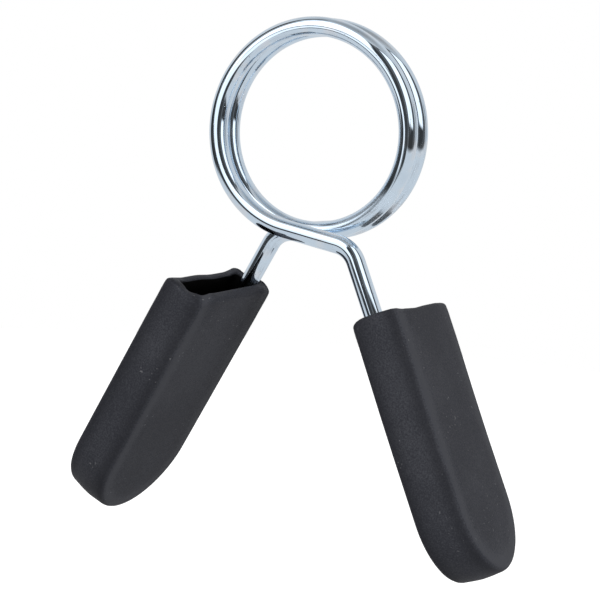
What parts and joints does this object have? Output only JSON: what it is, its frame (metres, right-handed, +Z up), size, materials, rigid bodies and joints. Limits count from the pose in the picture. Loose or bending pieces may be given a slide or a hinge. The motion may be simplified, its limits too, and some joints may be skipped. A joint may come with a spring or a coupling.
{
  "type": "barbell spring collar",
  "caption": "Spring collar for a round bar: a coil of bright spring wire whose crossing arms end in black rubber grips; squeezing the grips opens the coil.",
  "frame": {"origin": "centre of the coil's bore, at the middle of the coil's length", "axes": "+Y along the bar towards the rear, +Z up and away from the handles, +X towards the handle of the front arm"},
  "size_m": [0.1248, 0.0467, 0.1422],
  "materials": {
    "spring_wire": "bright plated spring steel",
    "grip_rubber": "matte, fine grain"
  },
  "bodies": {
    "coil": {"spring_coil": "spring_wire"},
    "front_handle": {"front_arm": "spring_wire", "front_grip": "grip_rubber"},
    "rear_handle": {"rear_arm": "spring_wire", "rear_grip": "grip_rubber"}
  },
  "joints": [
    {"name": "front_squeeze", "type": "hinge", "parent": "coil", "child": "front_handle", "pos_m": [0, 0, 0], "axis": [0, 1, 0], "range_deg": [0, 19], "stiffness_Nm_per_rad": 36, "deforming": ["spring_coil"]},
    {"name": "rear_squeeze", "type": "hinge", "parent": "coil", "child": "rear_handle", "pos_m": [0, 0, 0], "axis": [0, 1, 0], "range_deg": [-19, 0], "stiffness_Nm_per_rad": 36, "deforming": ["spring_coil"]}
  ],
  "couplings": [
    {"joint": "rear_squeeze", "follows": "front_squeeze", "ratio": -1}
  ]
}
